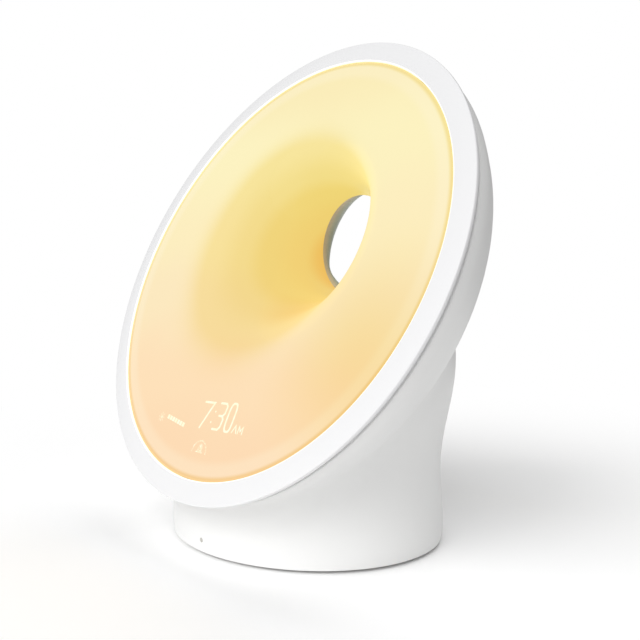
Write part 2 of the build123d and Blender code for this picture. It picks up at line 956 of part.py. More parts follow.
def speaker_basket():
    top = gasket_bottom()
    under = flange_bottom()
    ledge = surround_seat()
    low = basket_bottom()
    profile = [
        (grille_seat_radius, top),
        (speaker_flange_radius, top),
        (speaker_flange_radius, under),
        (speaker_cup_radius, under),
        (speaker_cup_radius, ledge - basket_sheet),
        (magnet_plate_radius, low),
        (magnet_bore, low),
        (magnet_bore, low + basket_sheet),
        (magnet_plate_radius - basket_sheet, low + basket_sheet),
        (speaker_ledge_radius, ledge - basket_sheet),
        (speaker_ledge_radius, ledge),
        (grille_seat_radius, ledge),
    ]
    basket = turned(*profile)
    half = basket_window / 2
    hoop = 2 * basket_sheet
    for index in range(speaker_windows):
        window = block(magnet_bore + cut_over, speaker_flange_radius, -half, half, low + hoop, ledge - hoop)
        basket -= Rot(Z=(index + 0.5) * 360 / speaker_windows) * window
    for x, y in speaker_screw_places():
        basket -= Pos(x, y, top) * Cylinder(speaker_screw_radius + screw_clearance, 4 * speaker_flange)
    return speaker_place() * basket


def speaker_top_plate():
    low = basket_bottom()
    return speaker_place() * tube(magnet_plate_radius, plate_bore, low - plate_thickness, low)


def magnet_bottom():
    return basket_bottom() - plate_thickness - magnet_height


def speaker_magnet():
    ring = tube(magnet_radius, magnet_bore, magnet_bottom(), basket_bottom() - plate_thickness)
    return speaker_place() * ring


def speaker_yoke():
    low = magnet_bottom()
    yoke = post(magnet_plate_radius, low - plate_thickness, low) + post(pole_radius, low, basket_bottom())
    return speaker_place() * yoke


def speaker_cone():
    seat = surround_seat()
    neck = basket_bottom() + cone_neck
    crest = neck + 2 * cone_sheet
    cone = turned(
        (coil_radius, neck),
        (cone_radius - cone_lip, seat - cone_sheet),
        (cone_radius, seat - cone_sheet),
        (cone_radius, seat),
        (cone_radius - cone_lip, seat),
        (coil_radius, crest),
    )
    coil_bottom = basket_bottom() - plate_thickness - coil_dip
    former = tube(coil_radius, coil_radius - coil_wall, coil_bottom, crest)
    cap = turned(
        (0, crest),
        (coil_radius, crest - cone_sheet),
        (coil_radius, crest),
        (coil_radius / 2, crest + cap_rise * 3 / 4),
        (0, crest + cap_rise),
    )
    return speaker_place() * (cone + former + cap)


def speaker_surround():
    seat = surround_seat()
    inner = cone_radius - cone_lip
    outer = grille_seat_radius - gasket_fit
    middle = (inner + outer) / 2
    roll = (outer - inner) / 2 - surround_land
    ring = turned(
        (inner, seat),
        (middle - roll + surround_sheet, seat),
        (middle, seat + roll - surround_sheet),
        (middle + roll - surround_sheet, seat),
        (outer, seat),
        (outer, seat + surround_sheet),
        (middle + roll, seat + surround_sheet),
        (middle, seat + roll),
        (middle - roll, seat + surround_sheet),
        (inner, seat + surround_sheet),
    )
    return speaker_place() * ring


def speaker_screws():
    screws = []
    length = speaker_flange + gasket_thickness + speaker_screw_length - blind_end
    for x, y in speaker_screw_places():
        screw = pan_screw(speaker_screw_radius, length, speaker_screw_head_radius, speaker_screw_head_height)
        screws.append(speaker_place() * Pos(x, y, flange_bottom()) * screw)
    return Compound(children=screws)


pieces = [
    bezel_ring,
    front_diffuser,
    touch_ring,
    reflector_tray,
    led_board,
    light_leds,
    led_board_screws,
    display_mask,
    display_board,
    display_leds,
    back_housing,
    base_plate,
    foot_pad,
    base_screws,
    sensor_window,
    sensor_board,
    main_board,
    main_board_screws,
    coin_cell_holder,
    coin_cell,
    radio_shield,
    board_chips,
    capacitors,
    port_panel,
    dc_jack,
    usb_port,
    aux_jack,
    reset_button,
    reset_switch,
    speaker_grille,
    speaker_gasket,
    speaker_basket,
    speaker_top_plate,
    speaker_magnet,
    speaker_yoke,
    speaker_cone,
    speaker_surround,
    speaker_screws,
]

os.makedirs("parts", exist_ok=True)
for piece in pieces:
    export_step(piece(), "parts/" + piece.__name__ + ".step")
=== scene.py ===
import json
from math import cos, pi, radians, sin

import bmesh
import bpy
from mathutils import Matrix, Vector


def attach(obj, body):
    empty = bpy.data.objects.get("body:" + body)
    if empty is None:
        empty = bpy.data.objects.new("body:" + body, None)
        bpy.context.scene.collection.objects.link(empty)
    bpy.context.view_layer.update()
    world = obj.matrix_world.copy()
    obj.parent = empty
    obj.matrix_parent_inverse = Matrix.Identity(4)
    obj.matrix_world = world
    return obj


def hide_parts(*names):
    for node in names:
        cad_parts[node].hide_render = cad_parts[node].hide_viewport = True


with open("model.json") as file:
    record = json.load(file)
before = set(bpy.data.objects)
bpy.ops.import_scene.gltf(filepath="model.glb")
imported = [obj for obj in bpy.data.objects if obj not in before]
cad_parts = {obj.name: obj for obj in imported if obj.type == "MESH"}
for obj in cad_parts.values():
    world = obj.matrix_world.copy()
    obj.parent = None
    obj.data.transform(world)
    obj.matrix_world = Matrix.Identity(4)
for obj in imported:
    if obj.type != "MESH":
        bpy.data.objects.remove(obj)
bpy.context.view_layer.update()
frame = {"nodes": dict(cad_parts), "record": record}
mm = 0.001
collection = bpy.context.scene.collection

# the leaning disc, in mm and degrees: in its own frame x is right, y runs up the face, z comes out of it
head = {
    "tilt": 25.9,
    "centerY": -19.5,
    "centerZ": 123.6,
    "radius": 110.0,
    "ringWidth": 10.0,
    "holeRadius": 24.4,
    "holeUp": 29.3,
    "holeDepth": 45.7,
    "holeTilt": 19.9,
}
headTurn = (radians(90 - head["tilt"]), 0, 0)
headCenter = Vector((0, head["centerY"], head["centerZ"])) * mm
headPlace = Matrix.Translation(headCenter) @ Matrix.Rotation(headTurn[0], 4, "X")


# sRGB hex to linear colour
def tint(text):
    channels = [int(text[i:i + 2], 16) / 255 for i in (1, 3, 5)]
    return [c / 12.92 if c <= 0.04045 else ((c + 0.055) / 1.055) ** 2.4 for c in channels] + [1.0]


# one node with its inputs (values or links), settings and, on a ramp, its (place, hex) stops
def add(tree, kind, inputs=None, stops=None, **settings):
    made = tree.nodes.new(kind)
    for name, value in settings.items():
        setattr(made, name, value)
    for socket, value in (inputs or {}).items():
        if isinstance(value, bpy.types.NodeSocket):
            tree.links.new(value, made.inputs[socket])
        else:
            made.inputs[socket].default_value = value
    if stops:
        made.color_ramp.interpolation = "EASE"
        elements = made.color_ramp.elements
        while len(elements) < len(stops):
            elements.new(0.5)
        for element, (place, text) in zip(elements, stops):
            element.position = place
            element.color = tint(text)
    return made


# a chain of sums: each step names its result, the operation and its inputs, numbers or earlier results
def runSteps(tree, values, steps):
    for name, operation, *given in steps:
        inputs = {index: values.get(item, item) for index, item in enumerate(given)}
        values[name] = add(tree, "ShaderNodeMath", inputs, operation=operation).outputs[0]


# distance from the z axis of the given coordinates
def fromAxis(tree, local):
    flat = add(tree, "ShaderNodeVectorMath", {0: local, 1: (1, 1, 0)}, operation="MULTIPLY").outputs[0]
    return add(tree, "ShaderNodeVectorMath", {0: flat}, operation="LENGTH").outputs["Value"]


def firstOf(tree, kind):
    return next(node for node in tree.nodes if node.type == kind)


def setValues(shader, values):
    for socket, value in values.items():
        shader.inputs[socket].default_value = value


def newMaterial(name):
    material = bpy.data.materials.new(name)
    material.use_nodes = True
    tree = material.node_tree
    tree.nodes.clear()
    shader = add(tree, "ShaderNodeBsdfPrincipled")
    add(tree, "ShaderNodeOutputMaterial", {"Surface": shader.outputs["BSDF"]})
    return material, tree, shader


def meshObject(name, mesh):
    made = bpy.data.objects.new(name, mesh)
    collection.objects.link(made)
    return made


def meshFrom(work, name):
    mesh = bpy.data.meshes.new(name)
    work.to_mesh(mesh)
    work.free()
    return mesh


def bakeModifiers(made):
    graph = bpy.context.evaluated_depsgraph_get()
    mesh = bpy.data.meshes.new_from_object(made.evaluated_get(graph))
    made.modifiers.clear()
    made.data = mesh
    return made


# empty shape tree with one output and named inputs for its sizes and counts
def newShapeTree(name, sizes, counts):
    tree = bpy.data.node_groups.new(name, "GeometryNodeTree")
    tree.interface.new_socket("Geometry", in_out="OUTPUT", socket_type="NodeSocketGeometry")
    for inputName in sizes:
        tree.interface.new_socket(inputName, in_out="INPUT", socket_type="NodeSocketFloat")
    for inputName in counts:
        tree.interface.new_socket(inputName, in_out="INPUT", socket_type="NodeSocketInt")
    return tree, add(tree, "NodeGroupInput").outputs


# every shape tree ends in real mesh with its material
def closeTree(tree, geometry, material):
    whole = add(tree, "GeometryNodeRealizeInstances", {"Geometry": geometry})
    dressed = add(tree, "GeometryNodeSetMaterial", {"Geometry": whole.outputs[0], "Material": material})
    add(tree, "NodeGroupOutput", {0: dressed.outputs[0]})


# runs a shape tree on an empty mesh and keeps its result as a plain mesh object
def runTree(name, tree, values):
    seed = meshObject(name, bpy.data.meshes.new(name))
    modifier = seed.modifiers.new(name, "NODES")
    modifier.node_group = tree
    for item in tree.interface.items_tree:
        if item.in_out == "INPUT" and item.name in values:
            modifier[item.identifier] = values[item.name]
    return bakeModifiers(seed)


def finishPiece(made, body, material, replaced=()):
    made.data.materials.clear()
    made.data.materials.append(material)
    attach(made, body)
    if replaced:
        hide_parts(*replaced)


# what all moulded plastics share: sizes in mm, and the roughness wanders by its spread
plastic = {
    "cloudSize": 30.0,
    "roughSpread": 0.08,
    "grainBump": 0.35,
    "ior": 1.52,
    "coatRoughness": 0.08,
}


# moulded plastic: a faint cloudiness in the colour and the fine grain of the mould's surface
def mouldedPlastic(name, color, roughness, grainSize=0.6, grainHeight=0.02, cloudiness=0.012, coat=0.0):
    material, tree, shader = newMaterial(name)
    place = add(tree, "ShaderNodeTexCoord").outputs["Object"]
    cloudScale = 1 / (plastic["cloudSize"] * mm)
    cloud = add(tree, "ShaderNodeTexNoise", {"Vector": place, "Scale": cloudScale, "Detail": 3.0})
    grain = add(tree, "ShaderNodeTexNoise", {"Vector": place, "Scale": 1 / (grainSize * mm), "Detail": 2.0})
    values = {"cloud": cloud.outputs["Fac"], "grain": grain.outputs["Fac"]}
    spread = plastic["roughSpread"]
    runSteps(tree, values, [
        ("shade", "MULTIPLY_ADD", "cloud", cloudiness * 2, 1 - cloudiness),
        ("rough", "MULTIPLY_ADD", "grain", spread, roughness - spread / 2),
    ])
    toned = add(tree, "ShaderNodeHueSaturation", {"Color": tint(color), "Value": values["shade"]})
    bump = add(
        tree,
        "ShaderNodeBump",
        {"Height": values["grain"], "Distance": grainHeight * mm, "Strength": plastic["grainBump"]},
    )
    tree.links.new(toned.outputs["Color"], shader.inputs["Base Color"])
    tree.links.new(values["rough"], shader.inputs["Roughness"])
    tree.links.new(bump.outputs["Normal"], shader.inputs["Normal"])
    setValues(shader, {
        "IOR": plastic["ior"],
        "Coat Weight": coat,
        "Coat Roughness": plastic["coatRoughness"],
    })
    return material


metal = {
    "roughSpread": 0.2,
    "grainHeight": 0.01,
    "grainBump": 0.3,
}


# plated or drawn metal with the fine lines that its making leaves
def bareMetal(name, color, roughness, grainSize, stretch=(1, 1, 1)):
    material, tree, shader = newMaterial(name)
    place = add(tree, "ShaderNodeTexCoord").outputs["Object"]
    lines = add(tree, "ShaderNodeMapping", {"Vector": place, "Scale": stretch}).outputs[0]
    grain = add(tree, "ShaderNodeTexNoise", {"Vector": lines, "Scale": 1 / (grainSize * mm), "Detail": 4.0})
    values = {"grain": grain.outputs["Fac"]}
    spread = metal["roughSpread"]
    runSteps(tree, values, [("rough", "MULTIPLY_ADD", "grain", spread, roughness - spread / 2)])
    bump = add(
        tree,
        "ShaderNodeBump",
        {"Height": values["grain"], "Distance": metal["grainHeight"] * mm, "Strength": metal["grainBump"]},
    )
    tree.links.new(values["rough"], shader.inputs["Roughness"])
    tree.links.new(bump.outputs["Normal"], shader.inputs["Normal"])
    setValues(shader, {"Base Color": tint(color), "Metallic": 1.0})
    return material


# the head's own x, y and z in mm, from Object coordinates
def headCoordinates(tree):
    place = add(tree, "ShaderNodeTexCoord").outputs["Object"]
    local = add(
        tree,
        "ShaderNodeMapping",
        {"Vector": place, "Location": headCenter, "Rotation": headTurn, "Scale": (mm, mm, mm)},
        vector_type="TEXTURE",
    )
    return local.outputs[0]


# light of the face: tones up it and down the funnel, with two tinted patches, gold and hollow, and a painted
# paler side where the funnel's gold fades towards +x; mm
glow = {
    "strength": 0.905,
    "faceSpan": 200.0,
    "upFace": [
        (0.04, "#FBD8B0"),
        (0.2, "#FCDEB5"),
        (0.4, "#FAE7BC"),
        (0.58, "#FBEDBC"),
        (0.78, "#FBF2BE"),
        (0.96, "#F9ECB6"),
    ],
    "intoFunnel": [
        (0.0, "#FFFFFF"),
        (0.09, "#F9F0C9"),
        (0.3, "#F5E9B4"),
        (0.45, "#F2E19A"),
        (0.7, "#F2DC92"),
        (0.84, "#F1CA6F"),
        (0.93, "#EBB161"),
    ],
    # painted reflection: the funnel's gold weakens towards +x, so its grazing side is painted paler
    "paintedPaleSideMiddle": 0.55,
    "paintedPaleSideSlope": -0.01125,
    "paintedPaleSideLeast": 0.2,
    "creamBand": [(0.9, "#000000"), (0.945, "#8C8C8C"), (0.97, "#8C8C8C"), (0.99, "#000000")],
    "creamColor": "#FEF6DC",
    "edge": [(0.972, "#FFFFFF"), (0.99, "#F6ECC4")],
    "goldPlace": (78.0, -40.0, 0.0),
    "gold": [(0.0, "#FAF2CF"), (1.0, "#FFFFFF")],
    "goldReach": 62.0,
    "hollowPlace": (2.0, -6.0, -16.0),
    "hollow": [(0.0, "#F8E6C6"), (1.0, "#FFFFFF")],
    "hollowReach": 26.0,
    "drift": 0.12,
    "driftSize": 45.0,
    "body": "#554C40",
    "finish": {
        "Roughness": 0.45,
        "IOR": 1.49,
        "Specular IOR Level": 0.25,
        "Coat Weight": 0.18,
        "Coat Roughness": 0.03,
    },
}


# opal cast acrylic lit from behind: pale and even on the flat face, gold to orange down the funnel, its +x
# side painted paler in place of grazing reflection
def opalAcrylic():
    material, tree, shader = newMaterial("opalAcrylicLit")
    local = headCoordinates(tree)
    x, y, z = add(tree, "ShaderNodeSeparateXYZ", {0: local}).outputs
    cloud = add(tree, "ShaderNodeTexNoise", {"Vector": local, "Scale": 1 / glow["driftSize"], "Detail": 2.0})
    values = {"x": x, "y": y, "z": z, "cloud": cloud.outputs["Fac"], "across": fromAxis(tree, local)}
    for name in ("goldPlace", "hollowPlace"):
        away = add(tree, "ShaderNodeVectorMath", {0: local, 1: glow[name]}, operation="DISTANCE")
        values[name] = away.outputs["Value"]
    runSteps(tree, values, [
        ("height", "MULTIPLY_ADD", "y", 1 / glow["faceSpan"], 0.5),
        ("drift", "MULTIPLY_ADD", "cloud", glow["drift"], -glow["drift"] / 2),
        ("upFace", "ADD", "height", "drift"),
        # painted reflection: less funnel gold towards +x paints the grazing side paler
        ("side", "MULTIPLY_ADD", "x", glow["paintedPaleSideSlope"], glow["paintedPaleSideMiddle"]),
        ("sideLow", "MAXIMUM", "side", glow["paintedPaleSideLeast"]),
        ("paintedPaleSideShare", "MINIMUM", "sideLow", 1.0),
        ("depth", "MULTIPLY", "z", -1 / head["holeDepth"]),
        ("intoFunnel", "MULTIPLY", "depth", "paintedPaleSideShare"),
        ("edge", "DIVIDE", "across", head["radius"] - head["ringWidth"]),
        ("gold", "DIVIDE", "goldPlace", glow["goldReach"]),
        ("hollow", "DIVIDE", "hollowPlace", glow["hollowReach"]),
    ])
    color = add(tree, "ShaderNodeValToRGB", {"Fac": values["upFace"]}, glow["upFace"]).outputs["Color"]
    band = add(tree, "ShaderNodeValToRGB", {"Fac": values["edge"]}, glow["creamBand"]).outputs["Color"]
    creamMix = {0: band, 6: color, 7: tint(glow["creamColor"])}
    color = add(tree, "ShaderNodeMix", creamMix, data_type="RGBA").outputs[2]
    for name in ("intoFunnel", "edge", "gold", "hollow"):
        tone = add(tree, "ShaderNodeValToRGB", {"Fac": values[name]}, glow[name]).outputs["Color"]
        toneMix = {0: 1.0, 6: color, 7: tone}
        color = add(tree, "ShaderNodeMix", toneMix, data_type="RGBA", blend_type="MULTIPLY").outputs[2]
    tree.links.new(color, shader.inputs["Emission Color"])
    setValues(shader, {"Emission Strength": glow["strength"], "Base Color": tint(glow["body"])})
    setValues(shader, glow["finish"])
    material.cycles.emission_sampling = "NONE"
    return material


# way out of the hole behind the rim: it widens to the top and sides, and its lip is painted with light from
# the face and with shade
lip = {
    "flare": 0.16,
    "fade": 30.0,
    "slack": 0.05,
    "paintedShadeReach": 60.0,
    # painted light and shade on the lip: a tan glow near the rim, then grey-green shade deeper in
    "paintedGlowAndShadeTones": [(0.02, "#D6C6A4"), (0.08, "#B9BCA6"), (0.15, "#93AAA0"), (0.26, "#C9D2CD")],
    "paintedShadeNearTones": [(0.425, "#FFFFFF"), (0.485, "#000000")],
}


# satin ABS of the housing; inside the hole the lip gets painted light, a tan glow from the face, then
# painted shade, a grey-green
def satinHousing():
    material = mouldedPlastic("satinAbsWhite", "#E9E9E8", 0.42, grainSize=0.5, grainHeight=0.006)
    tree = material.node_tree
    shader = firstOf(tree, "BSDF_PRINCIPLED")
    plain = shader.inputs["Base Color"].links[0].from_socket
    holeFrame = {
        "Vector": headCoordinates(tree),
        "Location": (0, head["holeUp"], -head["holeDepth"]),
        "Rotation": (radians(head["holeTilt"]), 0, 0),
    }
    inHole = add(tree, "ShaderNodeMapping", holeFrame, vector_type="TEXTURE").outputs[0]
    values = {
        "across": fromAxis(tree, inHole),
        "depth": add(tree, "ShaderNodeSeparateXYZ", {0: inHole}).outputs[2],
    }
    runSteps(tree, values, [
        ("near", "MULTIPLY", "across", 1 / lip["paintedShadeReach"]),
        ("deep", "MULTIPLY", "depth", -1 / lip["paintedShadeReach"]),
    ])
    # painted light and shade: tan glow, then grey-green shade, down the hole, kept close to its wall
    paintedLipTone = add(tree, "ShaderNodeValToRGB", {"Fac": values["deep"]}, lip["paintedGlowAndShadeTones"]).outputs["Color"]
    paintedShadeFade = add(tree, "ShaderNodeValToRGB", {"Fac": values["near"]}, lip["paintedShadeNearTones"]).outputs["Color"]
    paintedShadeMix = {0: paintedShadeFade, 6: tint("#FFFFFF"), 7: paintedLipTone}
    shade = add(tree, "ShaderNodeMix", paintedShadeMix, data_type="RGBA").outputs[2]
    colorMix = {0: 1.0, 6: plain, 7: shade}
    shaded = add(tree, "ShaderNodeMix", colorMix, data_type="RGBA", blend_type="MULTIPLY").outputs[2]
    tree.links.new(shaded, shader.inputs["Base Color"])
    return material


# painted light: a cream glow on the ring's inner edge stands in for light that leaks out of the face's edge;
# places are shares of the head's radius
paintedLeakGlow = {
    "strength": 0.75,
    "tones": [(0.9091, "#FFF8E2"), (0.911, "#FFF3D0"), (0.914, "#000000")],
}


# polished ABS of the ring: a clean highlight, and a painted cream glow on its inner edge
def glossRing():
    material = mouldedPlastic("glossAbsWhite", "#E7E7E8", 0.3, grainHeight=0.0, cloudiness=0.004, coat=0.15)
    tree = material.node_tree
    shader = firstOf(tree, "BSDF_PRINCIPLED")
    values = {"across": fromAxis(tree, headCoordinates(tree))}
    runSteps(tree, values, [("share", "MULTIPLY", "across", 1 / head["radius"])])
    # painted light: the ring's inner edge glows cream, as if lit by light leaking from the face
    cream = add(tree, "ShaderNodeValToRGB", {"Fac": values["share"]}, paintedLeakGlow["tones"]).outputs["Color"]
    tree.links.new(cream, shader.inputs["Emission Color"])
    setValues(shader, {"Emission Strength": paintedLeakGlow["strength"]})
    material.cycles.emission_sampling = "NONE"
    return material


figureLight = {
    "tones": [(0.3, "#FFF3CF"), (0.7, "#FFF9E0")],
    "toneSize": 2.0,
    "strength": 0.93,
    "body": "#6E6353",
    "roughness": 0.12,
}


# light of the figures, diffused by the opal face: cream, softer than a bare lamp
def displayLight():
    material, tree, shader = newMaterial("diffusedDisplayGlow")
    place = add(tree, "ShaderNodeTexCoord").outputs["Object"]
    toneScale = 1 / (figureLight["toneSize"] * mm)
    grain = add(tree, "ShaderNodeTexNoise", {"Vector": place, "Scale": toneScale, "Detail": 1.0})
    cream = add(tree, "ShaderNodeValToRGB", {"Fac": grain.outputs["Fac"]}, figureLight["tones"])
    tree.links.new(cream.outputs["Color"], shader.inputs["Emission Color"])
    setValues(shader, {
        "Emission Strength": figureLight["strength"],
        "Base Color": tint(figureLight["body"]),
        "Roughness": figureLight["roughness"],
    })
    material.cycles.emission_sampling = "NONE"
    return material


materials = {
    "opal": opalAcrylic(),
    "display": displayLight(),
    "housing": satinHousing(),
    "ring": glossRing(),
    # dusty, matt rubber that takes no highlight
    "pad": mouldedPlastic("siliconeRubberGrey", "#3A3938", 0.8, grainSize=1.2, grainHeight=0.05),
    # clear grey plastic over a dark board: a small grey dot
    "lightPipe": mouldedPlastic("smokedPolycarbonate", "#B9B6B0", 0.2, cloudiness=0.03),
    # spark-eroded mould: a coarser, duller grain than the housing
    "portGrey": mouldedPlastic("sparkErodedAbsGrey", "#C9C8C6", 0.55, grainSize=0.4, grainHeight=0.03),
    # glass fibres near the surface: black with a dry sheen
    "black": mouldedPlastic("glassFilledNylonBlack", "#17171A", 0.5, grainSize=0.5),
    # unpainted styrene: flat white that throws light back
    "innerWhite": mouldedPlastic("whiteStyrene", "#EDECE8", 0.6),
    # white lacquer over glass cloth: a hard, even shine
    "boardWhite": mouldedPlastic("whiteSolderMask", "#E9E9E4", 0.35),
    # green lacquer over copper: deep colour under a hard shine
    "boardGreen": mouldedPlastic("greenSolderMask", "#1E5A38", 0.3, grainSize=0.8),
    # phosphor in silicone: a soft yellow square
    "lamp": mouldedPlastic("phosphorResin", "#F2DE6B", 0.4, cloudiness=0.05),
    # smooth film with a printed back
    "film": mouldedPlastic("printedPetFilm", "#D8DADA", 0.25),
    # open, light-swallowing cells
    "foam": mouldedPlastic("closedCellFoam", "#242424", 0.95, grainSize=0.9, grainHeight=0.2),
    # fibres show through the treatment
    "cone": mouldedPlastic("treatedPaperCone", "#1D1C1B", 0.85, grainSize=1.5, grainHeight=0.08),
    # ground ceramic: charcoal, faintly metallic in its grain
    "ferrite": mouldedPlastic("sinteredFerrite", "#2B2B2E", 0.55, grainSize=0.4, grainHeight=0.03),
    # warm, bright plating
    "nickel": bareMetal("nickelPlatedSteel", "#BDBBB4", 0.3, 0.8),
    # cool, slightly milky plating
    "zinc": bareMetal("zincPlatedScrew", "#A9ABAE", 0.35, 0.5),
    # lines of the drawing tool run up the can
    "can": bareMetal("drawnAluminiumCan", "#C9CACC", 0.3, 0.5, (1, 1, 0.1)),
}
slotMaterials = {
    "white_ring": "ring",
    "opal_face": "opal",
    "clear_film": "film",
    "inner_white": "innerWhite",
    "board_white": "boardWhite",
    "lamp": "lamp",
    "screw_steel": "zinc",
    "inner_black": "black",
    "board_green": "boardGreen",
    "white_housing": "housing",
    "pad_rubber": "pad",
    "grey_light_pipe": "lightPipe",
    "cell_steel": "nickel",
    "can_aluminium": "can",
    "port_grey": "portGrey",
    "foam_black": "foam",
    "magnet_ferrite": "ferrite",
    "cone_black": "cone",
}
nodeSlots = {entry["node"]: entry["material_slot"] for entry in frame["record"]["subparts"]}
for nodeName, made in frame["nodes"].items():
    made.data.materials.clear()
    made.data.materials.append(materials[slotMaterials[nodeSlots[nodeName]]])
print("materials:", len(materials))

# lit face: flat at its edge, then a funnel whose circles move up and turn level towards the hole
litFace = {
    "edgeRadius": 99.8,
    "startRadius": 80.0,
    "holeRadius": head["holeRadius"],
    "holeUp": head["holeUp"],
    "holeDepth": head["holeDepth"],
    "holeTilt": head["holeTilt"],
    "powerAcross": 3.0,
    "powerDown": 1.2,
    "around": 256,
    "along": 110,
    "wall": 2.2,
    "flatShare": 0.16,
    "merge": 0.005,
}


def litFaceTree():
    sizes = ("edgeRadius", "startRadius", "holeRadius", "holeUp", "holeDepth", "holeTilt")
    sizes += ("powerAcross", "powerDown")
    tree, given = newShapeTree("litFaceShape", sizes, ("around", "along"))
    flat = litFace["flatShare"]
    grid = add(
        tree,
        "GeometryNodeMeshGrid",
        {"Size X": 1.0, "Size Y": 1 + flat, "Vertices X": given["around"], "Vertices Y": given["along"]},
    )
    place = add(tree, "GeometryNodeInputPosition").outputs[0]
    x, y, z = add(tree, "ShaderNodeSeparateXYZ", {0: place}).outputs
    values = {"x": x, "y": y}
    values.update({name: given[name] for name in sizes})
    runSteps(tree, values, [
        ("azimuth", "MULTIPLY", "x", 2 * pi),
        ("run", "ADD", "y", (1 - flat) / 2),
        ("onFunnel", "MAXIMUM", "run", 0.0),
        ("turn", "MULTIPLY", "onFunnel", pi / 2),
        ("sine", "SINE", "turn"),
        ("rawCosine", "COSINE", "turn"),
        ("cosine", "MAXIMUM", "rawCosine", 0.0),
        ("acrossPower", "DIVIDE", 2.0, "powerAcross"),
        ("downPower", "DIVIDE", 2.0, "powerDown"),
        ("across", "POWER", "sine", "acrossPower"),
        ("level", "POWER", "cosine", "downPower"),
        ("down", "SUBTRACT", 1.0, "level"),
        ("narrowing", "SUBTRACT", "holeRadius", "startRadius"),
        ("flatWidth", "SUBTRACT", "edgeRadius", "startRadius"),
        ("onFlat", "MINIMUM", "run", 0.0),
        ("outward", "MULTIPLY", "onFlat", -1 / flat),
        ("funnelRadius", "MULTIPLY_ADD", "narrowing", "across", "startRadius"),
        ("radius", "MULTIPLY_ADD", "flatWidth", "outward", "funnelRadius"),
        ("fullTilt", "RADIANS", "holeTilt"),
        ("tilt", "MULTIPLY", "fullTilt", "down"),
        ("azimuthCosine", "COSINE", "azimuth"),
        ("azimuthSine", "SINE", "azimuth"),
        ("tiltCosine", "COSINE", "tilt"),
        ("tiltSine", "SINE", "tilt"),
        ("right", "MULTIPLY", "radius", "azimuthCosine"),
        ("high", "MULTIPLY", "radius", "azimuthSine"),
        ("shift", "MULTIPLY", "holeUp", "across"),
        ("up", "MULTIPLY_ADD", "high", "tiltCosine", "shift"),
        ("sink", "MULTIPLY", "holeDepth", "down"),
        ("rise", "MULTIPLY", "high", "tiltSine"),
        ("out", "SUBTRACT", "rise", "sink"),
    ])
    point = add(tree, "ShaderNodeCombineXYZ", {0: values["right"], 1: values["up"], 2: values["out"]})
    inMetres = {0: point.outputs[0], "Scale": mm}
    meters = add(tree, "ShaderNodeVectorMath", inMetres, operation="SCALE").outputs[0]
    moved = add(tree, "GeometryNodeSetPosition", {"Geometry": grid.outputs[0], "Position": meters})
    turned = add(
        tree,
        "GeometryNodeTransform",
        {"Geometry": moved.outputs[0], "Translation": headCenter, "Rotation": headTurn},
    )
    closing = {"Geometry": turned.outputs[0], "Distance": litFace["merge"] * mm}
    closed = add(tree, "GeometryNodeMergeByDistance", closing)
    smooth = add(tree, "GeometryNodeSetShadeSmooth", {"Geometry": closed.outputs[0]})
    closeTree(tree, smooth.outputs[0], materials["opal"])
    return tree


opalFace = runTree("opalFace", litFaceTree(), litFace)
thickness = opalFace.modifiers.new("wall", "SOLIDIFY")
thickness.thickness = litFace["wall"] * mm
thickness.offset = -1.0
thickness.use_even_offset = True
finishPiece(opalFace, "clock", materials["opal"], ["front_diffuser"])
print("lit face:", len(opalFace.data.polygons), "faces")

# figures and signs of the display, seen through the face: strokes in mm on the head's x and y
display = {
    "stroke": 0.95,
    "fineStroke": 0.6,
    "rayStroke": 0.42,
    "proud": 0.05,
    "sheet": 0.04,
    "capSteps": 6,
    "leastMiter": 0.5,
    "longestEdge": 1.5,
    "seven": [(-6.6, -66.9), (0.3, -66.6), (-4.5, -78.2)],
    "three": [(4.8, -66.2), (8.6, -66.0), (9.8, -67.2), (9.7, -70.2), (8.6, -71.6)],
    "threeLow": [(6.2, -71.6), (8.6, -71.6), (9.7, -73.0), (9.4, -76.2), (8.2, -77.5), (4.6, -77.6)],
    "zero": {"center": (14.5, -71.4), "across": 2.2, "high": 6.1, "power": 3.2, "steps": 40},
    "colon": [(2.9, -70.2), (2.2, -75.0)],
    "colonRadius": 0.4275,
    "discSteps": 16,
    "morning": [
        [(18.4, -77.2), (19.9, -74.1), (21.3, -77.2)],
        [(22.3, -77.2), (22.4, -74.1), (23.7, -76.1), (25.0, -74.1), (25.1, -77.2)],
    ],
    "star": (-35.6, -77.5),
    "starCore": 0.845,
    "starRays": 8,
    "starReach": (1.3, 2.1),
    "bell": [
        (-1.3, -88.5),
        (-0.2, -87.5),
        (0.1, -85.7),
        (1.4, -84.4),
        (2.7, -85.7),
        (3.0, -87.5),
        (4.1, -88.5),
    ],
    "bellArch": {"center": (1.0, -88.4), "radius": 5.0, "halfSteps": 12},
    "levels": {"count": 7, "pitch": 2.2, "width": 1.7, "height": 1.9, "thickness": 0.04},
    "levelPlace": (-29.9, -76.7),
    "levelTurn": -8.5,
}


# outline of a ribbon with round ends along a line of points
def strokeOutline(points, width):
    points = [Vector(point) for point in points]
    half = width / 2
    steps = display["capSteps"]

    def oneSide(line):
        side = []
        for index, point in enumerate(line):
            before = (point - line[index - 1]).normalized() if index else None
            after = (line[index + 1] - point).normalized() if index + 1 < len(line) else None
            along = ((before or after) + (after or before)).normalized()
            normal = Vector((-along.y, along.x))
            ahead = after or before
            miter = max(normal.dot(Vector((-ahead.y, ahead.x))), display["leastMiter"])
            side.append(point + normal * (half / miter))
        end, along = line[-1], (line[-1] - line[-2]).normalized()
        for step in range(1, steps):
            angle = pi / 2 - pi * step / steps
            side.append(end + Matrix.Rotation(angle, 2) @ along * half)
        return side

    return oneSide(points) + oneSide(points[::-1])


# the first points of a circle that has the given number of steps all round
def circlePoints(center, radius, steps, count):
    angles = [2 * pi * step / steps for step in range(count)]
    return [(center[0] + radius * cos(angle), center[1] + radius * sin(angle)) for angle in angles]


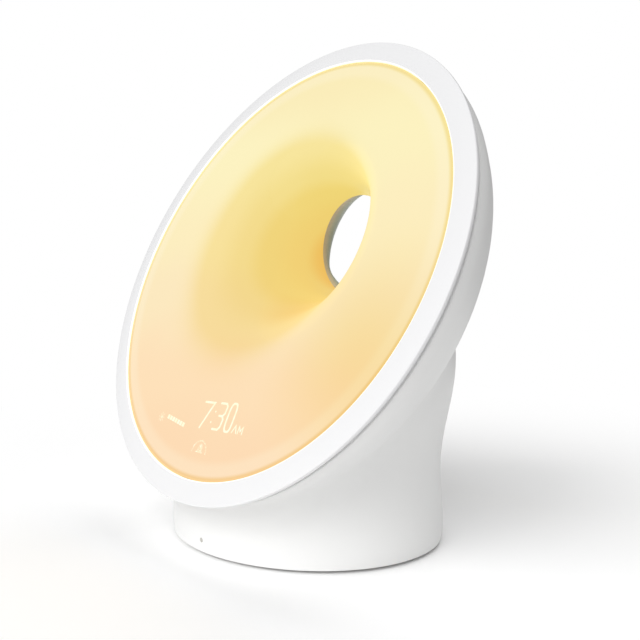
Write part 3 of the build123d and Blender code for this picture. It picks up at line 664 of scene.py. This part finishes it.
# oval with flattened sides, as a figure nought has
def noughtPoints(zero, grow):
    points = []
    for step in range(zero["steps"]):
        angle = 2 * pi * step / zero["steps"]
        shares = (cos(angle), sin(angle))
        sides = [abs(share) ** (2 / zero["power"]) * (1 if share > 0 else -1) for share in shares]
        x = zero["center"][0] + (zero["across"] + grow) * sides[0]
        y = zero["center"][1] + (zero["high"] + grow) * sides[1]
        points.append((x, y))
    return points


def fillOutline(work, outline):
    work.faces.new([work.verts.new((x * mm, y * mm, 0)) for x, y in outline])


def glyphMesh():
    work = bmesh.new()
    for name in ("seven", "three", "threeLow"):
        fillOutline(work, strokeOutline(display[name], display["stroke"]))
    for line in display["morning"]:
        fillOutline(work, strokeOutline(line, display["fineStroke"]))
    discSteps = display["discSteps"]
    for place in display["colon"]:
        fillOutline(work, circlePoints(place, display["colonRadius"], discSteps, discSteps))
    zero = display["zero"]
    loops = []
    for grow in (display["stroke"] / 2, -display["stroke"] / 2):
        loops.append([work.verts.new((x * mm, y * mm, 0)) for x, y in noughtPoints(zero, grow)])
    outer, inner = loops
    for step in range(zero["steps"]):
        after = (step + 1) % zero["steps"]
        work.faces.new((outer[step], outer[after], inner[after], inner[step]))
    star = Vector(display["star"])
    fillOutline(work, circlePoints(star, display["starCore"], discSteps, discSteps))
    for ray in range(display["starRays"]):
        out = Matrix.Rotation(2 * pi * ray / display["starRays"], 2) @ Vector((1, 0))
        line = [star + out * reach for reach in display["starReach"]]
        fillOutline(work, strokeOutline(line, display["rayStroke"]))
    arch = display["bellArch"]
    archPoints = circlePoints(arch["center"], arch["radius"], arch["halfSteps"] * 2, arch["halfSteps"] + 1)
    fillOutline(work, strokeOutline(archPoints, display["fineStroke"]))
    fillOutline(work, display["bell"])
    bmesh.ops.triangulate(work, faces=work.faces)
    # edges short enough for the sheet to follow the curved face
    tooLong = True
    while tooLong:
        tooLong = [edge for edge in work.edges if edge.calc_length() > display["longestEdge"] * mm]
        bmesh.ops.subdivide_edges(work, edges=tooLong, cuts=1)
        bmesh.ops.triangulate(work, faces=work.faces)
    bmesh.ops.recalc_face_normals(work, faces=work.faces)
    for face in work.faces:
        if face.normal.z < 0:
            face.normal_flip()
    return meshFrom(work, "displayFigures")


# a row of equal plates along x: the marks of the level bar
def rowTree(material):
    tree, given = newShapeTree("rowOfPlates", ("pitch", "width", "height", "thickness"), ("count",))
    step = add(tree, "ShaderNodeCombineXYZ", {0: given["pitch"]}).outputs[0]
    size = add(tree, "ShaderNodeCombineXYZ", {0: given["width"], 1: given["height"], 2: given["thickness"]})
    line = add(tree, "GeometryNodeMeshLine", {"Count": given["count"], "Offset": step})
    plate = add(tree, "GeometryNodeMeshCube", {"Size": size.outputs[0]})
    rowParts = {"Points": line.outputs[0], "Instance": plate.outputs[0]}
    row = add(tree, "GeometryNodeInstanceOnPoints", rowParts)
    sized = add(tree, "GeometryNodeTransform", {"Geometry": row.outputs[0], "Scale": (mm, mm, mm)})
    closeTree(tree, sized.outputs[0], material)
    return tree


figures = meshObject("displayFigures", glyphMesh())
figures.data.transform(headPlace)
laid = figures.modifiers.new("laid", "SHRINKWRAP")
laid.target = opalFace
laid.wrap_method = "NEAREST_SURFACEPOINT"
laid.offset = display["proud"] * mm
sheet = figures.modifiers.new("sheet", "SOLIDIFY")
sheet.thickness = display["sheet"] * mm
sheet.offset = -1.0
bakeModifiers(figures)
finishPiece(figures, "clock", materials["display"])
levels = runTree("displayLevels", rowTree(materials["display"]), display["levels"])
levelMove = Matrix.Translation(Vector((*display["levelPlace"], display["proud"])) * mm)
levelTurn = Matrix.Rotation(radians(display["levelTurn"]), 4, "Z")
levels.data.transform(headPlace @ levelMove @ levelTurn)
finishPiece(levels, "clock", materials["display"])
print("display:", len(figures.data.polygons) + len(levels.data.polygons), "faces")

# ring round the face: a shallow cone with softened edges, and a skirt that sets it off from the housing
ring = {
    "rise": 0.7,
    "thickness": 1.8,
    "edgeRound": 0.6,
    "innerRound": 0.35,
    "shadowGap": 2.4,
    "skirtInset": 2.2,
    "skirtWidth": 3.4,
    "around": 288,
    "cornerSteps": 5,
    "sharpAngle": 35,
}


# points of an arc that rounds one corner of a profile
def roundCorner(before, corner, after, radius):
    toBefore = (before - corner).normalized()
    toAfter = (after - corner).normalized()
    half = toBefore.angle(toAfter) / 2
    center = corner + (toBefore + toAfter).normalized() * (radius / sin(half))
    run = radius * cos(half) / sin(half)
    first = corner + toBefore * run - center
    last = corner + toAfter * run - center
    turn = -first.angle_signed(last)
    points = []
    for step in range(ring["cornerSteps"] + 1):
        points.append(center + Matrix.Rotation(turn * step / ring["cornerSteps"], 2) @ first)
    return points


def ringMesh():
    inner = head["radius"] - head["ringWidth"]
    outerSkirt = head["radius"] - ring["skirtInset"]
    innerSkirt = outerSkirt - ring["skirtWidth"]
    back = -ring["thickness"]
    skirtEnd = back - ring["shadowGap"]
    corners = [
        (inner, back, 0),
        (inner, ring["rise"], ring["innerRound"]),
        (head["radius"], 0, ring["edgeRound"]),
        (head["radius"], back, ring["edgeRound"]),
        (outerSkirt, back, 0),
        (outerSkirt, skirtEnd, 0),
        (innerSkirt, skirtEnd, 0),
        (innerSkirt, back, 0),
    ]
    profile = []
    for index, (radius, z, rounding) in enumerate(corners):
        corner = Vector((radius, z))
        if rounding:
            before = Vector(corners[index - 1][:2])
            after = Vector(corners[(index + 1) % len(corners)][:2])
            profile += roundCorner(before, corner, after, rounding)
        else:
            profile.append(corner)
    work = bmesh.new()
    loops = []
    for point in profile:
        circle = circlePoints((0, 0), point.x, ring["around"], ring["around"])
        loops.append([work.verts.new((x * mm, y * mm, point.y * mm)) for x, y in circle])
    for lower, upper in zip(loops, loops[1:] + loops[:1]):
        for step in range(ring["around"]):
            after = (step + 1) % ring["around"]
            work.faces.new((lower[step], lower[after], upper[after], upper[step])).smooth = True
    bmesh.ops.transform(work, matrix=headPlace, verts=work.verts)
    bmesh.ops.recalc_face_normals(work, faces=work.faces)
    mesh = meshFrom(work, "whiteRing")
    mesh.set_sharp_from_angle(angle=radians(ring["sharpAngle"]))
    return mesh


whiteRing = meshObject("whiteRing", ringMesh())
finishPiece(whiteRing, "clock", materials["ring"], ["bezel_ring"])
print("ring:", len(whiteRing.data.polygons), "faces")

# housing and the small outside pieces keep their shapes: doubles merged, curved faces shaded smooth
skins = {
    "merge": 0.002,
    "sharpAngle": 30,
    "rimRadius": 108.8,
    "rimDepth": 4.2,
    "rimTolerance": 0.05,
    "rimRound": 0.45,
    "rimSegments": 3,
    "bodies": {
        "back_housing": "clock",
        "speaker_grille": "clock",
        "foot_pad": "clock",
        "port_panel": "clock",
        "dc_jack": "clock",
        "aux_jack": "clock",
        "usb_port": "clock",
        "sensor_window": "clock",
        "reset_button": "reset",
    },
}


def isBowlRim(vert):
    local = headPlace.inverted() @ vert.co / mm
    misses = (local.xy.length - skins["rimRadius"], local.z + skins["rimDepth"])
    return all(abs(miss) < skins["rimTolerance"] for miss in misses)


# a small round on the bowl's front rim catches a thin line of light
def roundBowlRim(work):
    rim = [edge for edge in work.edges if all(isBowlRim(vert) for vert in edge.verts)]
    bmesh.ops.bevel(
        work,
        geom=rim,
        offset=skins["rimRound"] * mm,
        segments=skins["rimSegments"],
        profile=0.5,
        affect="EDGES",
    )
    print("bowl rim:", len(rim), "edges")


# widens the hole behind the rim, most at its top, and leaves its underside straight
def flareHole(work):
    holeMove = Matrix.Translation(Vector((0, head["holeUp"], -head["holeDepth"])) * mm)
    holePlace = headPlace @ holeMove @ Matrix.Rotation(radians(head["holeTilt"]), 4, "X")
    toHole = holePlace.inverted()
    for vert in work.verts:
        local = toHole @ vert.co / mm
        across = local.xy.length
        near = 1 - (across - head["holeRadius"]) / lip["fade"]
        if local.z >= 0 or not 0 < near < 1 + lip["slack"]:
            continue
        spread = -local.z * lip["flare"]
        sine, cosine = local.y / across, local.x / across
        edge = spread * sine + ((head["holeRadius"] + spread) ** 2 - (spread * cosine) ** 2) ** 0.5
        moved = across + (edge - head["holeRadius"]) * min(near, 1)
        local.xy *= moved / across
        vert.co = holePlace @ (local * mm)


for nodeName, bodyName in skins["bodies"].items():
    work = bmesh.new()
    work.from_mesh(frame["nodes"][nodeName].data)
    bmesh.ops.remove_doubles(work, verts=work.verts, dist=skins["merge"] * mm)
    if nodeName == "back_housing":
        roundBowlRim(work)
        flareHole(work)
    for face in work.faces:
        face.smooth = True
    mesh = meshFrom(work, nodeName + "Skin")
    mesh.set_sharp_from_angle(angle=radians(skins["sharpAngle"]))
    slotName = nodeSlots[nodeName]
    skin = meshObject(nodeName + "Skin", mesh)
    finishPiece(skin, bodyName, materials[slotMaterials[slotName]], [nodeName])
print("housing and ports done")

# white studio: broad soft lights that the gloss doesn't mirror, a pale floor and a white surround;
# a light is azimuth, height and spread in degrees, then strength, and the two reaches are in metres
studio = {
    "ambient": 0.32,
    "lights": [
        (-2, 37, 45, 1.3),
        (30, 36, 45, 1.26),
        (-176, 58, 40, 0.74),
    ],
    "floorReach": 0.46,
    "fadeReach": 0.44,
    "fade": [(0.2, "#000000"), (1.0, "#FFFFFF")],
}
white = tint("#FFFFFF")
reach = studio["floorReach"]
floorCorners = [(-reach, -reach, 0), (reach, -reach, 0), (reach, reach, 0), (-reach, reach, 0)]
floorMesh = bpy.data.meshes.new("floor")
floorMesh.from_pydata(floorCorners, [], [(0, 1, 2, 3)])
floor = meshObject("floor", floorMesh)
floorMaterial, floorTree, floorShader = newMaterial("mattWhitePaper")
setValues(floorShader, {"Base Color": white, "Roughness": 0.9, "Specular IOR Level": 0.1})
floorMaterial.cycles.emission_sampling = "NONE"
floorMesh.materials.append(floorMaterial)

# far from the clock the paper is fully lit, so that it runs into the white behind it
place = add(floorTree, "ShaderNodeTexCoord").outputs["Object"]
away = add(floorTree, "ShaderNodeVectorMath", {0: place}, operation="LENGTH").outputs["Value"]
fading = {"away": away}
runSteps(floorTree, fading, [("share", "MULTIPLY", "away", 1 / studio["fadeReach"])])
fade = add(floorTree, "ShaderNodeValToRGB", {"Fac": fading["share"]}, studio["fade"]).outputs["Color"]
fullyLit = add(floorTree, "ShaderNodeEmission", {"Color": white, "Strength": 1.0})
paper = add(floorTree, "ShaderNodeMixShader", {0: fade, 1: floorShader.outputs[0], 2: fullyLit.outputs[0]})
floorTree.links.new(paper.outputs[0], firstOf(floorTree, "OUTPUT_MATERIAL").inputs["Surface"])


# unit vector to a place at an azimuth from the front and a height, in radians
def direction(azimuth, height):
    return Vector((sin(azimuth) * cos(height), -cos(azimuth) * cos(height), sin(height)))


for azimuth, height, spread, strength in studio["lights"]:
    sunData = bpy.data.lights.new("softLight", "SUN")
    sunData.energy = strength
    sunData.angle = radians(spread)
    sun = bpy.data.objects.new("softLight", sunData)
    collection.objects.link(sun)
    toLight = direction(radians(azimuth), radians(height))
    sun.rotation_euler = toLight.to_track_quat("Z", "Y").to_euler()
    sun.visible_glossy = False

world = bpy.data.worlds.new("studio")
world.use_nodes = True
worldTree = world.node_tree
worldTree.nodes.clear()
seen = add(worldTree, "ShaderNodeBackground", {"Color": white, "Strength": 1.0})
lit = add(worldTree, "ShaderNodeBackground", {"Color": white, "Strength": studio["ambient"]})
ray = add(worldTree, "ShaderNodeLightPath").outputs["Is Camera Ray"]
both = add(worldTree, "ShaderNodeMixShader", {0: ray, 1: lit.outputs[0], 2: seen.outputs[0]})
add(worldTree, "ShaderNodeOutputWorld", {"Surface": both.outputs[0]})
world.cycles.sampling_method = "NONE"
bpy.context.scene.world = world
bpy.context.scene.view_settings.view_transform = "Standard"

# camera: angles in degrees, distance, target and nearest point in mm
eye = {
    "azimuth": 49.2,
    "elevation": 3.67,
    "roll": -0.68,
    "distance": 400.0,
    "target": (5.51, 5.86, 96.12),
    "nearest": 10.0,
    "lens": 49.39,
    "sensor": 36.0,
}
eyeAzimuth = radians(eye["azimuth"])
eyeRoll = radians(eye["roll"])
back = direction(eyeAzimuth, radians(eye["elevation"]))
level = Vector((cos(eyeAzimuth), sin(eyeAzimuth), 0))
right = level * cos(eyeRoll) + back.cross(level) * sin(eyeRoll)
upward = back.cross(right)
cameraData = bpy.data.cameras.new("camera")
cameraData.sensor_width = eye["sensor"]
cameraData.lens = eye["lens"]
cameraData.clip_start = eye["nearest"] * mm
camera = bpy.data.objects.new("camera", cameraData)
collection.objects.link(camera)
cameraPlace = Matrix((right, upward, back)).transposed().to_4x4()
cameraPlace.translation = (Vector(eye["target"]) + back * eye["distance"]) * mm
camera.matrix_world = cameraPlace
bpy.context.scene.camera = camera
print("camera and light done")
